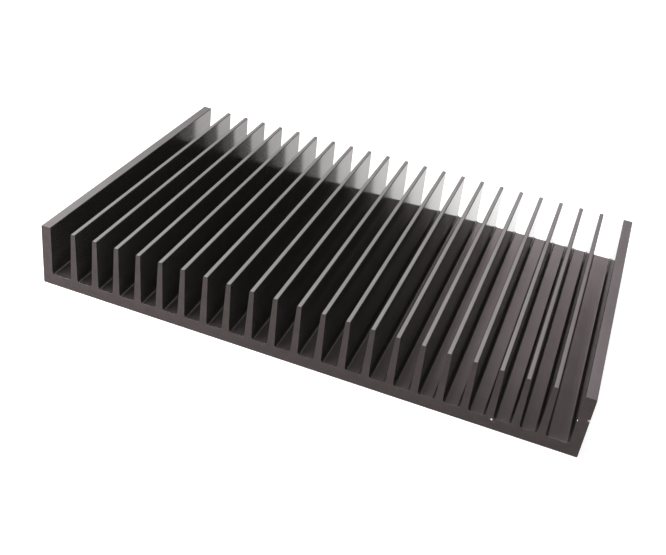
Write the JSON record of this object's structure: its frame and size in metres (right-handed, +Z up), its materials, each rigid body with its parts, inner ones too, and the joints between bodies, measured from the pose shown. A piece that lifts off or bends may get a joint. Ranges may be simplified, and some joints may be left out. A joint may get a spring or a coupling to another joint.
{
  "type": "extruded heat sink",
  "caption": "Wide black anodised aluminium heat sink: a flat base with plain end walls and a row of tapered fins, extruded in one piece and sawn to length.",
  "frame": {"origin": "middle of the flat underside of the base", "axes": "+X across the fins, +Y along the extrusion, +Z up from the base to the fin tips"},
  "size_m": [0.3, 0.193, 0.0365],
  "materials": {
    "black_anodised_aluminium": "black anodised, semi-matt, with fine lengthwise die lines and sawn ends"
  },
  "bodies": {
    "root": {"heat_sink": "black_anodised_aluminium"}
  },
  "joints": []
}
